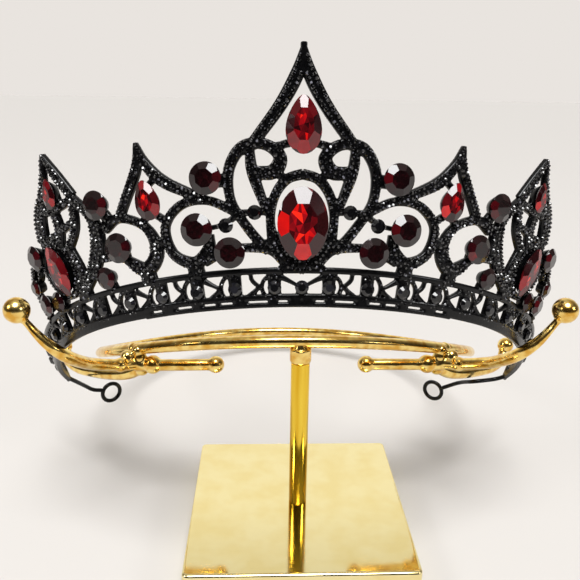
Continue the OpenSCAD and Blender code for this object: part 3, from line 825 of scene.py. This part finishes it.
def set_pave(side, name, model, chance):
    frames = []
    for s, h, size in pave_spots() + band_spots():
        spot = wall_frame(side * s, h)
        tip = Matrix.Rotation(math.radians(chance.gauss(0, 9)), 4, "X") @ Matrix.Rotation(math.radians(chance.gauss(0, 9)), 4, "Y")
        lift = Matrix.Translation((0, 0, PAVE_LIFT if size > 0.81 else 0.02))
        frames.append(spot @ lift @ tip @ Matrix.Rotation(chance.uniform(0, 6.3), 4, "Z") @ Matrix.Scale(size, 4))
    # A random painted tone of light for every facet of every stone
    painted_lights = [chance.random() for _ in range(len(frames) * len(model.data.polygons))]
    piece = copies(f"pave_{name}", model, frames, painted_lights)
    finish_piece(piece, f"pave_{name}", PAVE_GLASS, ["tiara_frame"])
    print(piece.name, len(frames), "stones,", len(piece.data.polygons), "faces")


pave_model = pave_stone()
set_pave(1, "right", pave_model, random.Random(3))
set_pave(-1, "left", pave_model, random.Random(8))
bpy.data.objects.remove(pave_model)

# %% [markdown]
# The red stones are moulded glass with a mirror foil behind them. One round stone is cut with flat planes
# as a cutter would: eight main facets from the rim to the table and sixteen short ones along the rim. Its
# table is then divided by straight lines, because a stone shows its back facets through it. Copies of that
# stone are stretched to each outline, and seeded random values with a few painted bright spots decide how
# much painted light each facet shows, standing in for the light that the foil sends back.

# %% The cut stones
TABLE_SHARE, RIM_LEVEL = 0.5, 0.42
MAIN_BACK, BAND_BACK = 0.87, 0.28


def cut_away(angle, low, high):
    """Cuts a straight facet that passes through two (radius, height) points, at an angle in degrees."""
    turn = Matrix.Rotation(math.radians(angle), 3, "Z")
    normal = turn @ Vector((high[1] - low[1], 0, low[0] - high[0]))
    bpy.ops.mesh.select_all(action="SELECT")
    bpy.ops.mesh.bisect(plane_co=turn @ Vector((low[0], 0, low[1])), plane_no=normal, use_fill=True, clear_outer=True)


def is_top(face):
    return face.normal.z > 0.999


def divide_table(piece, angle, offset):
    """A straight line over the table only."""
    turn = Matrix.Rotation(math.radians(angle), 3, "Z")
    select_faces(piece, is_top)
    bpy.ops.mesh.bisect(plane_co=turn @ Vector((offset, 0, 1)), plane_no=turn @ Vector((1, 0, 0)))


def cut_stone(name, sides, foot, rim, main, divided):
    """A stone of radius 1 and height 1: its foot radius, its rim level and how many main facets it has."""
    bpy.ops.mesh.primitive_cone_add(vertices=sides, radius1=foot, radius2=1, depth=rim, location=(0, 0, rim / 2))
    stone = bpy.context.object
    settle(stone)
    select_faces(stone, is_top)
    bpy.ops.mesh.extrude_region_move(TRANSFORM_OT_translate={"value": (0, 0, 1 - rim)})
    step = 360 / main
    for k in range(main):
        cut_away(step * k, (1, rim + 0.03), (TABLE_SHARE / math.cos(math.radians(step / 2)), 1))
    for k in range(2 * main):
        cut_away(step / 4 + step / 2 * k, (1, rim + 0.04), (0.9, rim + 0.21))
    if divided:
        for k in range(main // 2):
            divide_table(stone, 11 + step * k, 0)
        for k in range(main):
            divide_table(stone, 11 + step / 2 + step * k, 0.27)
    bpy.ops.mesh.select_all(action="SELECT")
    outward()
    bpy.ops.object.mode_set(mode="OBJECT")
    stone.name = name
    print(name, len(stone.data.polygons), "facets")
    return stone


def stone_points(model, kind, width, length, back):
    """The model's points stretched to an outline, in mm."""
    points = read_points(model)
    points[:, 0] *= outline_factor(kind, np.clip(points[:, 1], -1, 1)) * width / 2
    points[:, 1] *= length / 2
    points[:, 2] = back + points[:, 2] * (0.22 * width + 0.25)
    return points


def paint_facet_light(model, spots, chance, dull, side=1):
    """A painted tone of light for each facet; a painted bright spot is (across, up, reach, gain) on the stone of radius
    1.
    """
    painted_lights = []
    for face in model.data.polygons:
        x, y, z = face.center
        glow = sum(gain * max(0, 1 - math.hypot(side * x - a, y - b) / reach) for a, b, reach, gain in spots)
        # Facets below the rim get no random painted light, only the painted glints
        low = 0 if z < RIM_LEVEL else chance.uniform(0.1, dull)
        painted_lights.append(min(1.0, low + glow * chance.uniform(0.35, 1.0)))
    return painted_lights


# Painted glints on each kind of stone, where its bright facets are painted; on the left half they are mirrored towards
# the middle
PAINTED_GLINTS = {
    "front_oval": [(-0.2, 0.25, 0.42, 1.5), (-0.6, -0.1, 0.3, 0.8), (-0.1, -0.5, 0.42, 1.5), (0.25, -0.25, 0.25, 0.9)],
    "front_pear": [(-0.1, 0.2, 0.4, 0.9), (0.2, -0.5, 0.4, 0.9), (-0.5, -0.4, 0.3, 0.7), (0.1, 0.7, 0.3, 0.6)],
    "pear": [(0, 0.1, 0.4, 0.9), (-0.4, -0.5, 0.35, 0.8), (0.4, -0.3, 0.3, 0.7), (0.1, 0.7, 0.3, 0.6)],
    "navette": [(0, 0.3, 0.45, 0.9), (-0.3, -0.4, 0.35, 0.9), (0.3, -0.7, 0.3, 0.8), (0.1, 0.8, 0.3, 0.7)],
    "round": [(-0.7, -0.1, 0.35, 0.55), (-0.4, -0.6, 0.4, 0.65)],
    "dot": [],
}


def set_stones():
    brilliant = cut_stone("brilliant", 32, 0.8, RIM_LEVEL, 8, True)
    small = cut_stone("small_stone", 16, 1.0, 0.2, 8, False)
    chance = random.Random(5)
    stones = [(name, 1, row) for name, row in FRONT_STONES.items()]
    for name, row in SIDE_STONES.items():
        stones += [(f"right_{name}", 1, row), (f"left_{name}", -1, row)]
    for name, side, (kind, along, up, width, length, lean) in stones:
        model = small if kind == "dot" else brilliant
        select(model)
        bpy.ops.object.duplicate()
        stone = bpy.context.object
        write_points(stone, stone_points(model, kind, width, length, MAIN_BACK))
        place(stone, side * along, up, side * lean)
        red = kind != "dot"
        # Each facet gets a random painted tone of light and the painted glints of its stone
        painted_lights = paint_facet_light(model, PAINTED_GLINTS.get(name, PAINTED_GLINTS.get(kind, [])), chance, 0.5, side)
        stone.data.attributes.new("painted_light", "FLOAT", "FACE").data.foreach_set("value", painted_lights)
        material = DARK_GARNET if kind == "round" else BRIGHT_GARNET if red else SMOKY_GLASS
        finish_piece(stone, f"cut_{name}", material, [name])
    frames, painted_lights = [], []
    for k in range(-BEAD_COUNT, BEAD_COUNT + 1):
        s = math.copysign(bead_at(abs(k)), k) if k else 0.0
        lift = Matrix.Translation((0, 0, BAND_BACK))
        frames.append(wall_frame(s, BEAD_UP) @ lift @ Matrix.Diagonal((BEAD_D / 2, BEAD_D / 2, 0.22 * BEAD_D + 0.25, 1)))
        # The band stones get random painted tones of light only, with no painted glints
        painted_lights += paint_facet_light(small, [], chance, 0.9)
    band_stones = copies("cut_band_stones", small, frames, painted_lights)
    finish_piece(band_stones, "cut_band_stones", SMOKY_GLASS, ["band_stones"])
    for model in (brilliant, small):
        bpy.data.objects.remove(model)


set_stones()

# %% [markdown]
# The stand is iron rod, bent and brazed, with a flash of gold plating. Bent rod keeps long fine drawing
# marks along its length, and the plating over the welds is a little browner. A noise gives the colour its
# streaks, stretched along the post only. The plate under it is a flat mirror, plated in a paler gold.

# %% Materials of the stand
def gold_plating(name, deep, bright, roughness, streak):
    material, tree, shader = new_material(name)
    at = add_node(tree, "ShaderNodeTexCoord")
    stretch = add_node(tree, "ShaderNodeMapping", None, {"Vector": at.outputs["Object"], "Scale": streak})
    marks = add_node(tree, "ShaderNodeTexNoise", None,
                     {"Vector": stretch.outputs["Vector"], "Scale": 1 / (3 * MM), "Detail": 2.0})
    tone = add_node(tree, "ShaderNodeValToRGB", None, {"Fac": marks.outputs["Fac"]})
    set_ramp(tone, [(0.35, deep), (0.62, bright)])
    bump = add_node(tree, "ShaderNodeBump", None,
                    {"Height": marks.outputs["Fac"], "Strength": 0.2, "Distance": 0.1 * MM})
    tree.links.new(tone.outputs["Color"], shader.inputs["Base Color"])
    tree.links.new(bump.outputs["Normal"], shader.inputs["Normal"])
    shader.inputs["Metallic"].default_value = 1.0
    shader.inputs["Roughness"].default_value = roughness
    return material


ROD_GOLD = gold_plating("polished_gold_plated_rod", "#dba848", "#f8da86", 0.2, (1, 1, 1))
POST_GOLD = gold_plating("polished_gold_plated_post", "#e0b02c", "#f6d24c", 0.16, (1, 1, 0.05))
PLATE_GOLD = gold_plating("pale_gold_mirror_plate", "#f4e2a2", "#f8eab2", 0.08, (0.3, 0.3, 0.3))

# %% [markdown]
# The plate is a bevelled block, the post a turned rod with its ends eased, and a short tube is the collar
# on top of it. The ring is a torus that droops to its sides and slopes down to the back.

# %% Plate, post and collar
PLATE, PLATE_H = 75, 10
CORNER_R, EDGE_R = 2, 0.9
POST_D, POST_FROM, POST_TO = 6.3, 10.1, 64.55
COLLAR_D, COLLAR_FROM, COLLAR_TO = 7.2, 64.65, 69.65
RING_AT = np.array([-2.4, 0, 71.8])
RING_R, ROD_D = 80, 4.3
RING_SLOPE = math.radians(21.3)
RING_DROOP = 6.9


def bevel(piece, width, segments, angle):
    bpy.ops.object.modifier_add(type="BEVEL")
    piece.modifiers[-1].width = width
    piece.modifiers[-1].segments = segments
    piece.modifiers[-1].angle_limit = math.radians(angle)
    apply_modifiers(piece)


def make_plate():
    bpy.ops.mesh.primitive_cube_add(size=1, location=(0, 0, PLATE_H / 2), scale=(PLATE, PLATE, PLATE_H))
    plate = bpy.context.object
    settle(plate)
    edit(plate, lambda: bpy.ops.mesh.select_all(action="DESELECT"), lambda: bpy.ops.mesh.select_mode(type="EDGE"))
    for edge in plate.data.edges:
        a, b = (plate.data.vertices[v].co for v in edge.vertices)
        edge.select = abs(a.z - b.z) > 1
    bpy.ops.object.mode_set(mode="EDIT")
    bpy.ops.mesh.bevel(offset=CORNER_R, segments=6)
    bpy.ops.object.mode_set(mode="OBJECT")
    bevel(plate, EDGE_R, 4, 40)
    select_faces(plate, lambda face: face.area > 300)
    bpy.ops.mesh.inset(thickness=0.4, use_individual=True)
    bpy.ops.object.mode_set(mode="OBJECT")
    finish_piece(in_metres(plate), "plate", PLATE_GOLD, ["base_plate"], 30)


def make_post():
    bpy.ops.mesh.primitive_cylinder_add(vertices=64, radius=POST_D / 2, depth=POST_TO - POST_FROM,
                                        location=(0, 0, (POST_FROM + POST_TO) / 2))
    post = bpy.context.object
    settle(post)
    bevel(post, 0.25, 3, 40)
    finish_piece(in_metres(post), "turned_post", POST_GOLD, ["post"], 30)


def make_collar():
    bpy.ops.mesh.primitive_cylinder_add(vertices=48, radius=COLLAR_D / 2, depth=COLLAR_TO - COLLAR_FROM,
                                        location=(0, 0, (COLLAR_FROM + COLLAR_TO) / 2))
    tube_part = bpy.context.object
    settle(tube_part)
    bevel(tube_part, 0.5, 4, 40)
    bpy.ops.mesh.primitive_cone_add(vertices=48, radius1=COLLAR_D / 2 - 0.5, radius2=1.7, depth=2.4,
                                    location=(0, 0, COLLAR_TO + 0.8))
    braze = bpy.context.object
    settle(braze)
    collar = join("collar", [tube_part, braze])
    melt(collar, voxel=0.3, rounds=4)
    finish_piece(in_metres(collar), "collar", ROD_GOLD, ["ring_and_arms"], 40)


def make_ring():
    bpy.ops.mesh.primitive_torus_add(major_radius=RING_R, minor_radius=ROD_D / 2, major_segments=160,
                                     minor_segments=20, location=(0, RING_R, 0))
    ring = bpy.context.object
    settle(ring)
    x, back, up = read_points(ring).T
    up = up - RING_DROOP * (x / RING_R) ** 2
    y = back * math.cos(RING_SLOPE) + up * math.sin(RING_SLOPE)
    z = up * math.cos(RING_SLOPE) - back * math.sin(RING_SLOPE)
    write_points(ring, np.column_stack([x, y, z]) + RING_AT)
    finish_piece(in_metres(ring), "ring", ROD_GOLD, ["ring_and_arms"], 40)


make_plate()
make_post()
make_collar()
make_ring()

# %% [markdown]
# On each side two arms are brazed to each other under the ring. One rises to hold the tiara's end, one
# runs to the back, and a short stub points inwards. The joints are left as round lumps of braze. The rods
# are swept, the balls and lumps are spheres, and a voxel remesh melts them into one piece.

# %% The arms
ARM_RISE = np.array([-2.4, 0, PLATE_H])
FRONT_ARM = [(54, 17, 46, 4.3), (60.4, 13.4, 47.1, 4.3), (67.6, 6, 51, 4.3), (69.9, -1, 55.2, 4.3),
             (71.7, -7, 59.5, 4.3), (74.2, -10, 63.1, 4), (77.4, -10.6, 66.4, 3.4), (79.9, -10.3, 69.2, 2.8),
             (82, -9.6, 71.5, 2.4), (84.4, -9.2, 74.4, 2.2)]
BACK_ARM = [(54, 18.6, 43.2, 4.3), (60.1, 22, 39.4, 4.3), (67.2, 27.2, 36.7, 4.3), (75.1, 33.6, 34.5, 4.3),
            (82.6, 39.2, 33.5, 4.3), (88.2, 44.6, 34.4, 4.3), (89.8, 47, 36.8, 4.3)]
STUB = [(56, 16.4, 45.6, 4.3), (42, 15.6, 46, 4.3), (27, 15, 46.4, 4.3)]
BALLS = [((85.3, -9, 76.2), 8.2), ((90.5, 48, 39.2), 6.4), ((49.5, 16, 46), 6.8), ((27, 15, 46.4), 6.2)]
BRAZE = [((56.6, 20.6, 50), 4.9), ((58.5, 17, 48.6), 5.1), ((60.4, 13.4, 47.1), 5.3), ((54.6, 17.6, 50.6), 4.7),
         ((54.3, 17.3, 48.3), 5.0), ((54, 17, 46), 5.3), ((54, 18, 44.6), 5.3), ((54, 18.6, 43.2), 5.3)]


def ball(at, diameter):
    bpy.ops.mesh.primitive_uv_sphere_add(segments=28, ring_count=16, radius=diameter / 2, location=at)
    piece = bpy.context.object
    settle(piece)
    return piece


def make_arms(side, name):
    lines = {"front_arm": smooth_line(FRONT_ARM), "back_arm": smooth_line(BACK_ARM), "stub": smooth_line(STUB, 4)}
    rods = [tube(part, line[:, :3], line[:, 3]) for part, line in lines.items()]
    arms = join("arms", rods + [ball(at, d) for at, d in BALLS + BRAZE])
    melt(arms, voxel=0.4, rounds=4)
    if side < 0:
        arms_right, arms = arms, mirrored(arms, "arms_left")
        bpy.data.objects.remove(arms_right)
    write_points(arms, read_points(arms) + ARM_RISE)
    finish_piece(in_metres(arms), f"arms_{name}", ROD_GOLD, ["ring_and_arms"], 40)


make_arms(1, "right")
make_arms(-1, "left")

# %% [markdown]
# The photograph was taken on a pale seamless table in soft light. The room is bright behind and overhead
# and darker on the camera's side, and that is what the black stones and the gold show in reflection. The
# camera itself sees an even pale wall.

# %% Floor, light and room
def pale_floor():
    material, tree, shader = new_material("pale_matt_studio_floor")
    shader.inputs["Base Color"].default_value = linear("#cbc8c5")
    shader.inputs["Roughness"].default_value = 0.75
    shader.inputs["Specular IOR Level"].default_value = 0.2
    return material


def make_floor():
    bpy.ops.mesh.primitive_plane_add(size=6, location=(0, 0, 0))
    floor = bpy.context.object
    settle(floor)
    floor.name = "studio_floor"
    floor.data.materials.append(pale_floor())


def make_room():
    world = bpy.data.worlds.new("studio_room")
    bpy.context.scene.world = world
    world.use_nodes = True
    tree = world.node_tree
    background = tree.nodes["Background"]
    at = add_node(tree, "ShaderNodeTexCoord")
    axes = add_node(tree, "ShaderNodeSeparateXYZ", None, {"Vector": at.outputs["Generated"]})
    depth = add_node(tree, "ShaderNodeMapRange", None,
                     {"Value": axes.outputs["Y"], "From Min": -1.0, "From Max": 1.0})
    walls = add_node(tree, "ShaderNodeValToRGB", None, {"Fac": depth.outputs["Result"]})
    set_ramp(walls, [(0.0, "#2a2725"), (0.5, "#3a3633"), (0.75, "#9a948c"), (0.9, "#fffcf6")])
    height = add_node(tree, "ShaderNodeValToRGB", None, {"Fac": axes.outputs["Z"]})
    set_ramp(height, [(0.6, "#000000"), (0.95, "#ffffff")])
    room = add_node(tree, "ShaderNodeMix", {"data_type": "RGBA"},
                    {"Factor": height.outputs["Color"], "A": walls.outputs["Color"], "B": linear("#c4c0ba")})
    seen = add_node(tree, "ShaderNodeLightPath")
    mix = add_node(tree, "ShaderNodeMix", {"data_type": "RGBA"},
                   {"Factor": seen.outputs["Is Camera Ray"], "B": linear("#e9e4df")})
    tree.links.new(room.outputs[2], mix.inputs[6])
    tree.links.new(mix.outputs[2], background.inputs["Color"])
    background.inputs["Strength"].default_value = 1.0
    bpy.context.scene.view_settings.view_transform = "Standard"


def softbox(name, place, target, size, watts):
    bpy.ops.object.light_add(type="AREA", location=place)
    light = bpy.context.object
    light.name = name
    light.data.shape = "RECTANGLE"
    light.data.size, light.data.size_y = size
    light.data.energy = watts
    light.rotation_euler = (Vector(target) - Vector(place)).to_track_quat("-Z", "Y").to_euler()


def broad_light(place, width, strength):
    """A far light that is as wide in the sky as a big softbox and falls evenly on the whole floor."""
    bpy.ops.object.light_add(type="SUN", location=place)
    light = bpy.context.object
    light.name = "overhead_light"
    light.data.angle = math.radians(width)
    light.data.energy = strength
    light.rotation_euler = (-Vector(place)).to_track_quat("-Z", "Y").to_euler()


make_floor()
make_room()
broad_light((0.03, -0.38, 0.9), 29, 3.2)
softbox("left_softbox", (-0.8, -0.35, 0.6), (0, 0, 0.1), (0.22, 0.22), 2.5)
softbox("right_softbox", (0.8, -0.45, 0.5), (0, 0, 0.1), (0.2, 0.2), 2)
